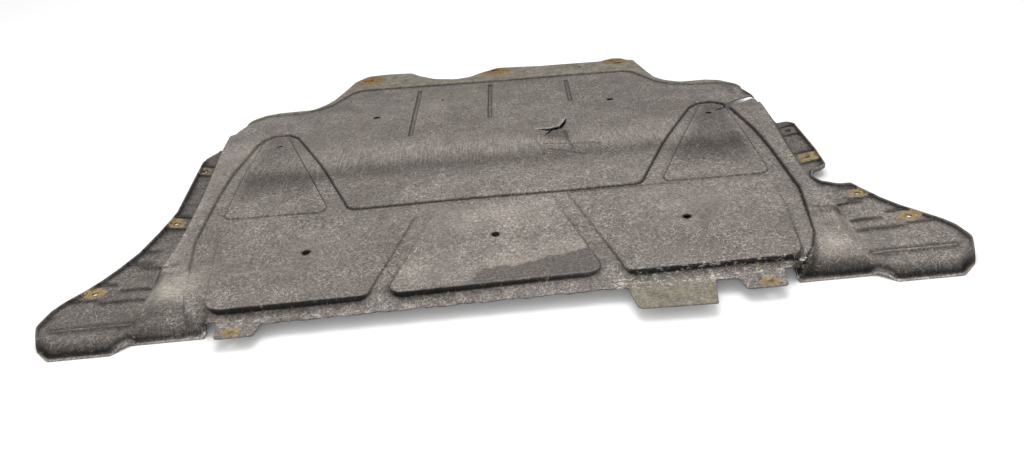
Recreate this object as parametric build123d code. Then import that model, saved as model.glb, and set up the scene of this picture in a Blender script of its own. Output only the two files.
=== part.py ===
from build123d import *
import math
import os

# Engine splash shield: one moulded plastic sheet lying road side up.
# Layout frame used below: x across the car (symmetry plane x = 0), y from the
# front edge (bumper) to the rear edge, z up. Millimetres.
# The finished sheet is moved by Y_SHIFT so the middle of its box is the origin.

SHEET = 3.0            # sheet thickness
Y_SHIFT = -500.15      # layout y of the box middle becomes 0

# long section of the tray floor (y, z of the road-side surface)
FLOOR = [(-120.0, 22.0), (14.0, 22.0), (50.0, 38.0), (471.0, 56.5), (1160.0, 15.5)]
FLOOR_BEND = [0.0, 40.0, 60.0, 700.0, 0.0]   # bend radius at each point
RIM_RISE = 6.0         # side rims and back panel above the floor
FLANGE_RISE = 10.0     # rear flange above the floor
TRI_RISE = 2.5         # triangular panels above the floor
PANEL_FRONT = (39.0, 41.0)    # front panels: (y, z) at their front edge
PANEL_BACK = (282.0, 48.2)    # front panels: (y, z) where they run out into the floor
GROOVE_DEPTH = 3.0
GROOVE_WIDTH = 10.0
WING_Z = 20.0          # wing top face
LIP_Z = SHEET          # foot lip along the wing fronts, lying on the ground
FRONT_WALL = 27.0      # y of the wall above the foot lip, outside the tray front
EDGE_LIP = 6.0         # upstanding lip round the wing edge
RIB_RISE = 4.5         # gusset ribs on the wings, height at the lip
RIB_T = 3.0

DRAFT = 20.0           # draft of panel walls, from vertical
SIDE_DRAFT = 32.0      # draft of the tray's outer side walls

# holes
DRAIN_R = 6.5          # three drain holes in the front panels
TRI_R = 6.5            # drain hole in each triangle
BACK_R = 5.5           # two holes in the back panel
SMALL_R = 4.0          # single small hole in the back panel
PIN_R = 3.5            # two locating holes in the rear flange
BOLT_R = 4.5           # fixing holes and half width of the rear slots
SLOT_LEN = 20.0        # rear slot, end to end

DRAINS = [(-324.0, 180.0), (0.0, 181.0), (324.0, 180.0)]
TRI_HOLES = [(-450.0, 602.0), (450.0, 602.0)]
BACK_HOLES = [(-259.0, 727.0), (259.0, 727.0)]
SMALL_HOLES = [(-116.0, 814.0)]
PIN_HOLES = [(-214.0, 977.0), (214.0, 977.0)]
FRONT_BOLTS = [(-416.0, 0.0), (416.0, 0.0)]
WING_BOLTS = [(-684.0, 146.0), (684.0, 146.0), (634.0, 244.0),
              (-606.0, 570.0), (-606.0, 358.0), (600.0, 540.0), (600.0, 412.0)]
REAR_SLOTS = [(-308.0, 990.0), (308.0, 990.0), (5.0, 1004.0)]

# grooves pressed into the back panel: x, y start, y end
GROOVES = [(-174.0, 597.0, 895.0), (-7.0, 668.0, 905.0), (173.0, 738.0, 895.0)]

# outline of the sheet in plan, anticlockwise from the left wing tip: x, y, corner radius
OUTLINE = [
    (-748, 62, 18), (-741, 26, 16), (-712, -3, 12), (-612, -3, 8), (-586, 19, 8), (-468, 19, 2),
    (-468, 25, 2), (-444, 25, 2), (-441, -13, 6), (-379, -13, 6), (-373, 15, 5),
    (202, 18, 6), (211, -37, 10), (329, -42, 3), (337, 17, 4),
    (372, 15, 4), (379, -13, 6), (441, -13, 6), (444, 25, 2), (468, 25, 2),
    (468, 19, 2), (586, 19, 8), (612, -3, 8), (712, -3, 12), (741, 26, 16), (748, 62, 18),
    (739, 98, 20), (728, 117, 10), (702, 149, 30), (682, 176, 40), (662, 211, 40), (642, 256, 40),
    (634, 277, 6), (611, 278, 12), (590, 300, 12), (582, 329, 12), (590, 350, 8), (606, 353, 6),
    (618, 364, 6), (621, 434, 0), (619, 560, 0), (614, 587, 8), (567, 588, 4),
    (567, 705, 40), (552, 768, 35), (522, 806, 30), (488, 819, 20), (432, 816, 25), (402, 834, 30),
    (378, 864, 30), (366, 920, 0), (350, 1012, 6), (334, 1018, 5), (322, 1034, 8), (301, 1039, 10),
    (284, 1031, 8), (268, 1020, 10), (118, 1016, 0), (13, 1030, 14), (-32, 999, 20), (-58, 972, 20),
    (-92, 962, 30), (-143, 975, 40), (-182, 1008, 20), (-205, 1038, 14), (-261, 1042, 0),
    (-314, 1036, 16), (-343, 995, 16), (-359, 927, 0), (-374, 871, 30), (-393, 840, 30),
    (-418, 813, 20), (-491, 808, 25), (-524, 798, 25), (-549, 772, 30), (-569, 718, 30), (-573, 697, 4),
    (-597, 694, 8), (-603, 660, 10), (-621, 630, 8), (-619, 581, 0), (-615, 480, 0), (-613, 394, 0),
    (-618, 361, 40), (-626, 322, 40), (-642, 256, 40), (-662, 211, 40), (-682, 176, 40), (-702, 149, 30),
    (-728, 117, 10), (-739, 98, 20),
]

# top edge of the tray's side walls; past the wings it runs out beyond the outline
TRAY = [
    (-441, -120, 0), (441, -120, 0), (441, 10, 6), (470, 32, 12), (487, 54, 20), (503, 102, 30),
    (510, 158, 8), (566, 164, 10), (557, 215, 40), (554, 290, 60), (555, 400, 60), (560, 508, 60),
    (566, 604, 6), (660, 640, 0), (660, 1150, 0), (-660, 1150, 0), (-660, 745, 0), (-572, 706, 6),
    (-570, 600, 60), (-563, 508, 60), (-556, 400, 60), (-555, 290, 60), (-558, 215, 40), (-567, 164, 10),
    (-510, 158, 8), (-503, 102, 30), (-487, 54, 20), (-470, 32, 12), (-441, 10, 6),
]

# right half of the lowered floor, from the front edge to the middle of the back panel's front line
LOW_R = [
    (454, -120, 0), (454, 12, 6), (484, 34, 16), (501, 57, 26), (516, 102, 40), (522, 165, 40),
    (531, 240, 40), (527, 312, 60), (522, 390, 60), (514, 465, 60), (507, 545, 60), (500, 622, 20),
    (490, 653, 14), (470, 669, 14), (442, 669, 14), (419, 646, 18), (281, 338, 0), (267, 305, 22),
]
# raised front panels
PANEL_R = [(206, 39, 16), (479, 39, 28), (501, 300, 0), (132, 300, 0)]
PANEL_M = [(-178, 38, 22), (172, 44, 22), (104, 296, 0), (-104, 296, 0)]
PANEL_L = [(-132, 300, 0), (-501, 300, 0), (-473, 38, 40), (-206, 39, 16)]
# raised triangles
TRI_R_PTS = [(303, 307, 14), (498, 308, 18), (490, 640, 12), (470, 660, 8), (446, 660, 10)]
# front line of the rear flange, right half from the middle outwards
FLANGE_R = [(0, 924, 0), (318, 927, 14), (336, 912, 14), (354, 876, 20), (376, 827, 20), (404, 802, 20),
            (445, 788, 20), (512, 783, 15), (548, 752, 10), (680, 700, 0)]

# wings: x, y of the top face, right side; the front and tip edges are walls
WING_R = [(540, 27, 0), (576, 27, 5), (602, 5, 8), (712, 5, 10), (770, 57, 0),
          (820, 74, 0), (820, 780, 0), (540, 780, 0)]
# where the outline carries an upstanding lip: x range, y range
LIP_ZONES = [((576, 800), (40, 587)), ((-800, -576), (40, 632))]
# gusset ribs: y, x of the low end, x of the high end
RIBS_R = [(560, 578, 620), (519, 578, 622), (433, 577, 622), (389, 577, 621), (263, 608, 641), (224, 612, 659),
          (167, 655, 690), (125, 674, 722), (210, 626, 588), (149, 638, 590), (117, 664, 590)]
RIBS_L = [(590, -580, -620), (549, -580, -619), (380, -577, -616), (338, -577, -624), (263, -608, -641),
          (224, -612, -659), (167, -655, -690), (125, -674, -722), (210, -626, -588), (149, -638, -590), (117, -664, -590)]
BEADS = [(50, 586, 722), (50, -586, -722)]     # low beads across the wing fronts
BEAD_RISE = 1.5

# damage: torn slits (middle line, half width at each point)
TEAR_MAIN = [((88, 578), 0.8), ((103, 569), 1.8), ((117, 563), 2.6), ((140, 573), 3.0), ((149, 600), 2.4), ((156, 634), 0.8)]
TEAR_BRANCH = [((119, 565), 2.0), ((111, 549), 1.4), ((102, 532), 0.6)]
SPLIT = [((466, 613), 1.0), ((487, 626), 6.0), ((504, 637), 9.0), ((530, 655), 10.0), ((552, 669), 7.0), ((575, 684), 4.0), ((610, 708), 4.0)]


# ---------------------------------------------------------------- plan helpers
def area2(pts):
    return sum(pts[i][0] * pts[(i + 1) % len(pts)][1] - pts[(i + 1) % len(pts)][0] * pts[i][1] for i in range(len(pts)))


def grow(pts, d):
    """Parallel offset of a closed polygon (x, y, r); d > 0 grows it."""
    if abs(d) < 1e-9:
        return [tuple(p) for p in pts]
    s = 1.0 if area2(pts) > 0 else -1.0
    n = len(pts)
    out = []
    for i in range(n):
        x0, y0 = pts[i - 1][:2]
        x1, y1, r = pts[i]
        x2, y2 = pts[(i + 1) % n][:2]
        a = math.hypot(x1 - x0, y1 - y0)
        b = math.hypot(x2 - x1, y2 - y1)
        n1 = (s * (y1 - y0) / a, -s * (x1 - x0) / a)
        n2 = (s * (y2 - y1) / b, -s * (x2 - x1) / b)
        k = 1.0 + n1[0] * n2[0] + n1[1] * n2[1]
        px = x1 + d * (n1[0] + n2[0]) / k
        py = y1 + d * (n1[1] + n2[1]) / k
        turn = s * ((x1 - x0) * (y2 - y1) - (y1 - y0) * (x2 - x1))
        if r > 0:
            r = max(r + (d if turn > 0 else -d), 0.6)
        out.append((px, py, r))
    return out


def plan_face(pts):
    """Face on XY from (x, y, corner radius) points."""
    n = len(pts)
    corners = []
    for i in range(n):
        x0, y0 = pts[i - 1][:2]
        x1, y1, r = pts[i]
        x2, y2 = pts[(i + 1) % n][:2]
        a = math.hypot(x1 - x0, y1 - y0)
        b = math.hypot(x2 - x1, y2 - y1)
        u = ((x0 - x1) / a, (y0 - y1) / a)
        v = ((x2 - x1) / b, (y2 - y1) / b)
        cosw = max(-1.0, min(1.0, u[0] * v[0] + u[1] * v[1]))
        half = math.acos(cosw) / 2
        if r <= 0 or half > math.radians(89.3):
            corners.append(((x1, y1), None, (x1, y1)))
            continue
        t = min(r / math.tan(half), 0.46 * a, 0.46 * b)
        r = t * math.tan(half)
        bis = (u[0] + v[0], u[1] + v[1])
        bl = math.hypot(*bis)
        h = r / math.sin(half)
        mid = (x1 + bis[0] / bl * (h - r), y1 + bis[1] / bl * (h - r))
        corners.append(((x1 + u[0] * t, y1 + u[1] * t), mid, (x1 + v[0] * t, y1 + v[1] * t)))
    edges = []
    for i in range(n):
        p, m, q = corners[i]
        if m is not None:
            edges.append(Edge.make_three_point_arc((*p, 0), (*m, 0), (*q, 0)))
        nxt = corners[(i + 1) % n][0]
        if math.hypot(nxt[0] - q[0], nxt[1] - q[1]) > 1e-6:
            edges.append(Edge.make_line((*q, 0), (*nxt, 0)))
    f = Face(Wire(edges))
    return f if f.normal_at().Z > 0 else -f


def prism(pts, z0, z1):
    return extrude(Pos(0, 0, z0) * plan_face(pts), amount=z1 - z0, dir=(0, 0, 1))


def drafted(pts, z_ref, z0, z1, deg):
    """Prism whose plan is pts at z_ref; deg > 0 closes in going up."""
    k = math.tan(math.radians(deg))
    return extrude(Pos(0, 0, z0) * plan_face(grow(pts, (z_ref - z0) * k)), amount=z1 - z0, dir=(0, 0, 1), taper=deg)


def under(section, bends, dz, z_low=-60.0, half=840.0):
    """Everything below a long section (y, z) shifted by dz."""
    pts = [(y, z + dz, r) for (y, z), r in zip(section, bends)]
    pts += [(section[-1][0], z_low, 0), (section[0][0], z_low, 0)]
    return extrude(Plane.YZ * plan_face(pts), amount=half, both=True)


def above(section, bends, dz, z_top=160.0, half=840.0):
    pts = [(y, z + dz, r) for (y, z), r in zip(section, bends)]
    pts += [(section[-1][0], z_top, 0), (section[0][0], z_top, 0)]
    return extrude(Plane.YZ * plan_face(pts), amount=half, both=True)


def mirror_pts(pts):
    return [(-p[0],) + tuple(p[1:]) for p in pts][::-1]


def slit(path):
    """Closed plan of a tear: middle line with a half width at each point."""
    a, b = [], []
    n = len(path)
    for i in range(n):
        (x, y), w = path[i]
        (x0, y0), _ = path[max(i - 1, 0)]
        (x2, y2), _ = path[min(i + 1, n - 1)]
        l = math.hypot(x2 - x0, y2 - y0)
        nx, ny = -(y2 - y0) / l, (x2 - x0) / l
        a.append((x + nx * w, y + ny * w, 0))
        b.append((x - nx * w, y - ny * w, 0))
    return a + b[::-1]


def obround(x, y, length, r, z0, z1):
    h = length / 2 - r
    edges = [Edge.make_line((x - h, y - r, 0), (x + h, y - r, 0)),
             Edge.make_three_point_arc((x + h, y - r, 0), (x + h + r, y, 0), (x + h, y + r, 0)),
             Edge.make_line((x + h, y + r, 0), (x - h, y + r, 0)),
             Edge.make_three_point_arc((x - h, y + r, 0), (x - h - r, y, 0), (x - h, y - r, 0))]
    return extrude(Pos(0, 0, z0) * Face(Wire(edges)), amount=z1 - z0, dir=(0, 0, 1))


# ---------------------------------------------------------------- one side of the sheet
LOW = LOW_R + mirror_pts(LOW_R)
FLANGE = mirror_pts(FLANGE_R)[:-1] + FLANGE_R + [(680, 1150, 0), (-680, 1150, 0)]


def hump(side, drop, inset):
    """Front corner of the tray falling in a convex ramp from the rim to the wing front."""
    back = [(455, 49.0), (516, 49.0), (563, 41.5), (587, WING_Z + 1.0)]
    front = [(440, 21.0), (480, 21.0), (574, 20.5), (587, WING_Z)]
    y0, y1 = FRONT_WALL + drop, 172.0
    secs = []
    for yy in (y0, 52.0, 88.0, 130.0, y1):
        t = (yy - y0) / (y1 - y0)
        row = [(f[0] + (b[0] - f[0]) * t, f[1] + (b[1] - f[1]) * t ** 0.65 - drop) for f, b in zip(front, back)]
        row[2] = (row[2][0] - 0.6 * inset, row[2][1])
        row[3] = (row[3][0] - inset, row[3][1])
        sec = [(row[0][0], -60)] + row + [(row[3][0], -60)]
        secs.append(Face(Wire.make_polygon([(side * x, yy, z) for x, z in sec], close=True)))
    return loft(secs, ruled=True)


def skin(drop):
    """Solid below the road-side face (drop = 0) or below the car-side face (drop = SHEET)."""
    wall = drop * math.tan(math.radians((90 - DRAFT) / 2))
    side = drop * math.tan(math.radians((90 - SIDE_DRAFT) / 2))
    floor_bends = FLOOR_BEND
    body = drafted(grow(TRAY, -side), 57.0, -40.0, 90.0, SIDE_DRAFT) & under(FLOOR, floor_bends, RIM_RISE - drop)
    for s in (1, -1):
        pts = WING_R if s > 0 else mirror_pts(WING_R)
        body += prism(grow(pts, -drop), -40.0, WING_Z - drop)
        body += hump(s, drop, side)
    low = drafted(grow(LOW, wall), 48.0, 5.0, 110.0, -DRAFT) & above(FLOOR, floor_bends, -drop)
    body -= low
    panel = [(-120.0, PANEL_FRONT[1] + (PANEL_FRONT[1] - PANEL_BACK[1]) / (PANEL_BACK[0] - PANEL_FRONT[0]) * (PANEL_FRONT[0] + 120.0)),
             (400.0, PANEL_BACK[1] + (PANEL_BACK[1] - PANEL_FRONT[1]) / (PANEL_BACK[0] - PANEL_FRONT[0]) * (400.0 - PANEL_BACK[0]))]
    lid = under(panel, [0, 0], -drop)
    for pts in (PANEL_R, PANEL_M, PANEL_L):
        body += drafted(grow(pts, -wall), 38.0, 5.0, 70.0, DRAFT) & lid
    lid = under(FLOOR, floor_bends, TRI_RISE - drop)
    for pts in (TRI_R_PTS, mirror_pts(TRI_R_PTS)):
        body += drafted(grow(pts, -wall), 52.0, 5.0, 70.0, DRAFT) & lid
    body += drafted(grow(FLANGE, -wall), 40.0, -20.0, 80.0, DRAFT) & under(FLOOR, floor_bends, FLANGE_RISE - drop)
    for x, y0, y1 in GROOVES:
        h = GROOVE_WIDTH / 2
        pts = [(x - h, y0, h * 0.98), (x + h, y0, h * 0.98), (x + h, y1, h * 0.98), (x - h, y1, h * 0.98)]
        body -= prism(grow(pts, drop), 0.0, 110.0) & above(FLOOR, floor_bends, RIM_RISE - GROOVE_DEPTH - drop)
    for s in (1, -1):
        edge = 453.0 + drop
        pts = [(edge, -130, 0), (576, -130, 0), (576, FRONT_WALL + drop, 0), (edge, FRONT_WALL + drop, 0)]
        body -= prism(pts if s > 0 else mirror_pts(pts), -60.0, 90.0)
    if drop == 0:
        for s in (1, -1):
            pts = [(455, -120, 0), (820, -120, 0), (820, 70, 0), (560, 70, 0), (455, 40, 0)]
            body += prism(pts if s > 0 else mirror_pts(pts), -40.0, LIP_Z)
    else:
        body += Pos(0, 500, -20) * Box(1900, 1500, 40)
    return body


road_side = skin(0.0)
car_side = skin(SHEET)
shield = road_side - car_side

# lips and gusset ribs of the wings
lip = prism(OUTLINE, WING_Z - SHEET, WING_Z + EDGE_LIP) - prism(grow(OUTLINE, -RIB_T), WING_Z - SHEET - 1, WING_Z + EDGE_LIP + 1)
for (xa, xb), (ya, yb) in LIP_ZONES:
    shield += lip & Pos((xa + xb) / 2, (ya + yb) / 2, WING_Z) * Box(xb - xa, yb - ya, 60)
for y, xi, xo in RIBS_R + RIBS_L:
    tri = Face(Wire.make_polygon([(xi, y - RIB_T / 2, WING_Z - 1), (xo, y - RIB_T / 2, WING_Z - 1),
                                  (xo, y - RIB_T / 2, WING_Z + RIB_RISE), (xi, y - RIB_T / 2, WING_Z + 1.2)], close=True))
    shield += extrude(tri, amount=RIB_T, dir=(0, 1, 0))
for y, xi, xo in BEADS:
    shield += Pos((xi + xo) / 2, y, WING_Z + (BEAD_RISE - 1) / 2) * Box(abs(xo - xi), 5, BEAD_RISE + 1)

shield &= prism(OUTLINE, -5.0, 120.0)

# holes, slots and tears
for group, r in ((DRAINS, DRAIN_R), (TRI_HOLES, TRI_R), (BACK_HOLES, BACK_R), (SMALL_HOLES, SMALL_R),
                 (PIN_HOLES, PIN_R), (FRONT_BOLTS, BOLT_R), (WING_BOLTS, BOLT_R)):
    for x, y in group:
        shield -= Pos(x, y, 50) * Cylinder(r, 200)
for x, y in REAR_SLOTS:
    shield -= obround(x, y, SLOT_LEN, BOLT_R, -20, 120)
for path in (TEAR_MAIN, TEAR_BRANCH, SPLIT):
    shield -= prism(slit(path), -20, 120)

solids = shield.solids().sort_by(SortBy.VOLUME)
shield = Pos(0, Y_SHIFT, 0) * solids[-1]
shield.label = "splash_shield"

os.makedirs("parts", exist_ok=True)
export_step(shield, "parts/splash_shield.step")
bb = shield.bounding_box()
print("solids", [round(s.volume) for s in solids])
print("box", bb.min, bb.max, "volume", shield.volume, "valid", shield.is_valid)
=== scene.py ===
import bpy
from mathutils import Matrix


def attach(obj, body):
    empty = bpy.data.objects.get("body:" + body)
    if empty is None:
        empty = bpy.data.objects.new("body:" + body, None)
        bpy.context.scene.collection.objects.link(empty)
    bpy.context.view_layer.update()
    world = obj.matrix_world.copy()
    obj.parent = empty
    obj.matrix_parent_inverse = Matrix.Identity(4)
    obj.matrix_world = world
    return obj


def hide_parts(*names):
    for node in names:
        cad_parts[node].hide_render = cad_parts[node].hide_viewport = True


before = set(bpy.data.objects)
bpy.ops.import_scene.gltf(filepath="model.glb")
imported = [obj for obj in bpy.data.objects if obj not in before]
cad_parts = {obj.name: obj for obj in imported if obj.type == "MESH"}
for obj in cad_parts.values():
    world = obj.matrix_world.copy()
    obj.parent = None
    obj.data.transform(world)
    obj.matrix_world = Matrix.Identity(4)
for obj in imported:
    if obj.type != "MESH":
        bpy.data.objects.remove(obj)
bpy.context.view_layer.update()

import math

import bpy
import numpy as np
from mathutils import Matrix, Vector, geometry, kdtree

# ------------------------------------------------------------------ numbers
# Layout frame: x across (symmetry x = 0), y from the front edge to the rear, z up, in mm.
# Row frame in metres: x / 1000, (y + Y_SHIFT) / 1000, z / 1000.
Y_SHIFT = -500.15
SHEET = 3.0
FLOOR = [(-120.0, 22.0, 0), (14.0, 22.0, 40.0), (50.0, 38.0, 60.0), (471.0, 56.5, 700.0), (1160.0, 15.5, 0)]
RIM_RISE, FLANGE_RISE, TRI_RISE = 6.0, 10.0, 2.5
PANEL_FRONT, PANEL_BACK = (39.0, 41.0), (282.0, 48.2)
WING_Z, LIP_Z, EDGE_LIP, RIB_RISE, RIB_T = 20.0, 3.0, 6.0, 4.5, 3.0
TAN_W = math.tan(math.radians(20.0))
TAN_S = math.tan(math.radians(32.0))

DRAINS = [(-324.0, 180.0), (0.0, 181.0), (324.0, 180.0)]
TRI_HOLES = [(-450.0, 602.0), (450.0, 602.0)]
BACK_HOLES = [(-259.0, 727.0), (259.0, 727.0)]
SMALL_HOLES = [(-116.0, 814.0)]
PIN_HOLES = [(-214.0, 977.0), (214.0, 977.0)]
FRONT_BOLTS = [(-416.0, 0.0), (416.0, 0.0)]
WING_BOLTS = [(-684.0, 146.0), (684.0, 146.0), (634.0, 244.0),
              (-606.0, 570.0), (-606.0, 358.0), (600.0, 540.0), (600.0, 412.0)]
REAR_SLOTS = [(-308.0, 990.0), (308.0, 990.0), (5.0, 1004.0)]
GROOVES = [(-174.0, 597.0, 895.0), (-7.0, 668.0, 905.0), (173.0, 738.0, 895.0)]

OUTLINE = [
    (-748, 62, 18), (-741, 26, 16), (-712, -3, 12), (-612, -3, 8), (-586, 19, 8), (-468, 19, 2),
    (-468, 25, 2), (-444, 25, 2), (-441, -13, 6), (-379, -13, 6), (-373, 15, 5),
    (202, 18, 6), (211, -37, 10), (329, -42, 3), (337, 17, 4),
    (372, 15, 4), (379, -13, 6), (441, -13, 6), (444, 25, 2), (468, 25, 2),
    (468, 19, 2), (586, 19, 8), (612, -3, 8), (712, -3, 12), (741, 26, 16), (748, 62, 18),
    (739, 98, 20), (728, 117, 10), (702, 149, 30), (682, 176, 40), (662, 211, 40), (642, 256, 40),
    (634, 277, 6), (611, 278, 12), (590, 300, 12), (582, 329, 12), (590, 350, 8), (606, 353, 6),
    (618, 364, 6), (621, 434, 0), (619, 560, 0), (614, 587, 8), (567, 588, 4),
    (567, 705, 40), (552, 768, 35), (522, 806, 30), (488, 819, 20), (432, 816, 25), (402, 834, 30),
    (378, 864, 30), (366, 920, 0), (350, 1012, 6), (334, 1018, 5), (322, 1034, 8), (301, 1039, 10),
    (284, 1031, 8), (268, 1020, 10), (118, 1016, 0), (13, 1030, 14), (-32, 999, 20), (-58, 972, 20),
    (-92, 962, 30), (-143, 975, 40), (-182, 1008, 20), (-205, 1038, 14), (-261, 1042, 0),
    (-314, 1036, 16), (-343, 995, 16), (-359, 927, 0), (-374, 871, 30), (-393, 840, 30),
    (-418, 813, 20), (-491, 808, 25), (-524, 798, 25), (-549, 772, 30), (-569, 718, 30), (-573, 697, 4),
    (-597, 694, 8), (-603, 660, 10), (-621, 630, 8), (-619, 581, 0), (-615, 480, 0), (-613, 394, 0),
    (-618, 361, 40), (-626, 322, 40), (-642, 256, 40), (-662, 211, 40), (-682, 176, 40), (-702, 149, 30),
    (-728, 117, 10), (-739, 98, 20),
]
TRAY = [
    (-441, -120, 0), (441, -120, 0), (441, 10, 6), (470, 32, 12), (487, 54, 20), (503, 102, 30),
    (510, 158, 8), (566, 164, 10), (557, 215, 40), (554, 290, 60), (555, 400, 60), (560, 508, 60),
    (566, 604, 6), (660, 640, 0), (660, 1150, 0), (-660, 1150, 0), (-660, 745, 0), (-572, 706, 6),
    (-570, 600, 60), (-563, 508, 60), (-556, 400, 60), (-555, 290, 60), (-558, 215, 40), (-567, 164, 10),
    (-510, 158, 8), (-503, 102, 30), (-487, 54, 20), (-470, 32, 12), (-441, 10, 6),
]
LOW_R = [
    (454, -120, 0), (454, 12, 6), (484, 34, 16), (501, 57, 26), (516, 102, 40), (522, 165, 40),
    (531, 240, 40), (527, 312, 60), (522, 390, 60), (514, 465, 60), (507, 545, 60), (500, 622, 20),
    (490, 653, 14), (470, 669, 14), (442, 669, 14), (419, 646, 18), (281, 338, 0), (267, 305, 22),
]
PANEL_R = [(206, 39, 16), (479, 39, 28), (501, 300, 0), (132, 300, 0)]
PANEL_L = [(-132, 300, 0), (-501, 300, 0), (-467, 38, 36), (-206, 39, 16)]
PANEL_M = [(-178, 38, 22), (172, 44, 22), (104, 296, 0), (-104, 296, 0)]
TRI_R_PTS = [(303, 307, 14), (498, 308, 18), (490, 640, 12), (470, 660, 8), (446, 660, 10)]
FLANGE_R = [(0, 924, 0), (318, 927, 14), (336, 912, 14), (354, 876, 20), (376, 827, 20), (404, 802, 20),
            (445, 788, 20), (512, 783, 15), (548, 752, 10), (680, 700, 0)]
WING_R = [(540, 27, 0), (576, 27, 5), (602, 5, 8), (712, 5, 10), (770, 57, 0),
          (820, 74, 0), (820, 780, 0), (540, 780, 0)]
RIBS = [(560, 578, 620), (519, 578, 622), (433, 577, 622), (389, 577, 621), (263, 608, 641), (224, 612, 659),
        (167, 655, 690), (125, 674, 722), (210, 626, 588), (149, 638, 590), (117, 664, 590),
        (590, -580, -620), (549, -580, -619), (380, -577, -616), (338, -577, -624), (263, -608, -641),
        (224, -612, -659), (167, -655, -690), (125, -674, -722), (210, -626, -588), (149, -638, -590), (117, -664, -590)]
BEADS = [(50, 586, 722), (50, -586, -722)]
TEAR_MAIN = [((88, 578), 0.8), ((103, 569), 1.8), ((117, 563), 2.6), ((140, 573), 3.0), ((149, 600), 2.4), ((156, 634), 0.8)]
TEAR_BRANCH = [((119, 565), 2.0), ((111, 549), 1.4), ((102, 532), 0.6)]
SPLIT = [((466, 613), 1.0), ((487, 626), 6.0), ((504, 637), 9.0), ((530, 655), 10.0), ((552, 669), 7.0), ((575, 684), 4.0), ((610, 708), 4.0)]


# ------------------------------------------------------------------ plan helpers
def mirror_pts(pts):
    return [(-p[0],) + tuple(p[1:]) for p in pts][::-1]


def area2(pts):
    return sum(pts[i][0] * pts[(i + 1) % len(pts)][1] - pts[(i + 1) % len(pts)][0] * pts[i][1] for i in range(len(pts)))


def grow(pts, d):
    """Parallel offset of a closed polygon (x, y, r); d > 0 grows it."""
    s = 1.0 if area2(pts) > 0 else -1.0
    n = len(pts)
    out = []
    for i in range(n):
        x0, y0 = pts[i - 1][:2]
        x1, y1, r = pts[i]
        x2, y2 = pts[(i + 1) % n][:2]
        a = math.hypot(x1 - x0, y1 - y0)
        b = math.hypot(x2 - x1, y2 - y1)
        n1 = (s * (y1 - y0) / a, -s * (x1 - x0) / a)
        n2 = (s * (y2 - y1) / b, -s * (x2 - x1) / b)
        k = max(1.0 + n1[0] * n2[0] + n1[1] * n2[1], 0.3)
        turn = s * ((x1 - x0) * (y2 - y1) - (y1 - y0) * (x2 - x1))
        if r > 0:
            r = max(r + (d if turn > 0 else -d), 0.6)
        out.append((x1 + d * (n1[0] + n2[0]) / k, y1 + d * (n1[1] + n2[1]) / k, r))
    return out


def sample(pts, step=None, arc=2.0):
    """Points along a closed polygon with rounded corners; straight runs are divided by step."""
    n = len(pts)
    corners = []
    for i in range(n):
        x0, y0 = pts[i - 1][:2]
        x1, y1, r = pts[i]
        x2, y2 = pts[(i + 1) % n][:2]
        a = math.hypot(x1 - x0, y1 - y0)
        b = math.hypot(x2 - x1, y2 - y1)
        u = ((x0 - x1) / a, (y0 - y1) / a)
        v = ((x2 - x1) / b, (y2 - y1) / b)
        half = math.acos(max(-1.0, min(1.0, u[0] * v[0] + u[1] * v[1]))) / 2
        if r <= 0 or half > math.radians(89.3):
            corners.append([(x1, y1)])
            continue
        t = min(r / math.tan(half), 0.46 * a, 0.46 * b)
        r = t * math.tan(half)
        bl = math.hypot(u[0] + v[0], u[1] + v[1])
        h = r / math.sin(half)
        cx, cy = x1 + (u[0] + v[0]) / bl * h, y1 + (u[1] + v[1]) / bl * h
        a0 = math.atan2(y1 + u[1] * t - cy, x1 + u[0] * t - cx)
        a1 = math.atan2(y1 + v[1] * t - cy, x1 + v[0] * t - cx)
        da = (a1 - a0 + math.pi) % (2 * math.pi) - math.pi
        m = max(2, int(math.ceil(abs(da) * r / arc)))
        corners.append([(cx + r * math.cos(a0 + da * j / m), cy + r * math.sin(a0 + da * j / m)) for j in range(m + 1)])
    out = []
    for i in range(n):
        out += corners[i]
        if step:
            x0, y0 = corners[i][-1]
            x1, y1 = corners[(i + 1) % n][0]
            m = int(math.hypot(x1 - x0, y1 - y0) / step)
            out += [(x0 + (x1 - x0) * j / (m + 1), y0 + (y1 - y0) * j / (m + 1)) for j in range(1, m + 1)]
    keep = [out[0]]
    for p in out[1:]:
        if math.hypot(p[0] - keep[-1][0], p[1] - keep[-1][1]) > 0.25:
            keep.append(p)
    if math.hypot(keep[0][0] - keep[-1][0], keep[0][1] - keep[-1][1]) < 0.25:
        keep.pop()
    return np.array(keep)


def outward(poly):
    """Outward unit normals at the points of a closed polygon."""
    s = 1.0 if area2([tuple(p) for p in poly]) > 0 else -1.0
    e = np.roll(poly, -1, 0) - poly
    e /= np.linalg.norm(e, axis=1)[:, None]
    m = e + np.roll(e, 1, 0)
    m /= np.maximum(np.linalg.norm(m, axis=1)[:, None], 1e-9)
    return s * np.stack([m[:, 1], -m[:, 0]], 1)


def slit(path, extra=0.0):
    a, b = [], []
    n = len(path)
    for i in range(n):
        (x, y), w = path[i]
        w += extra
        (x0, y0), _ = path[max(i - 1, 0)]
        (x2, y2), _ = path[min(i + 1, n - 1)]
        l = math.hypot(x2 - x0, y2 - y0)
        nx, ny = -(y2 - y0) / l, (x2 - x0) / l
        a.append((x + nx * w, y + ny * w, 0))
        b.append((x - nx * w, y - ny * w, 0))
    return a + b[::-1]


def rect(x0, y0, x1, y1, r=0.0):
    x0, x1 = min(x0, x1), max(x0, x1)
    y0, y1 = min(y0, y1), max(y0, y1)
    return [(x0, y0, r), (x1, y0, r), (x1, y1, r), (x0, y1, r)]


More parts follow.
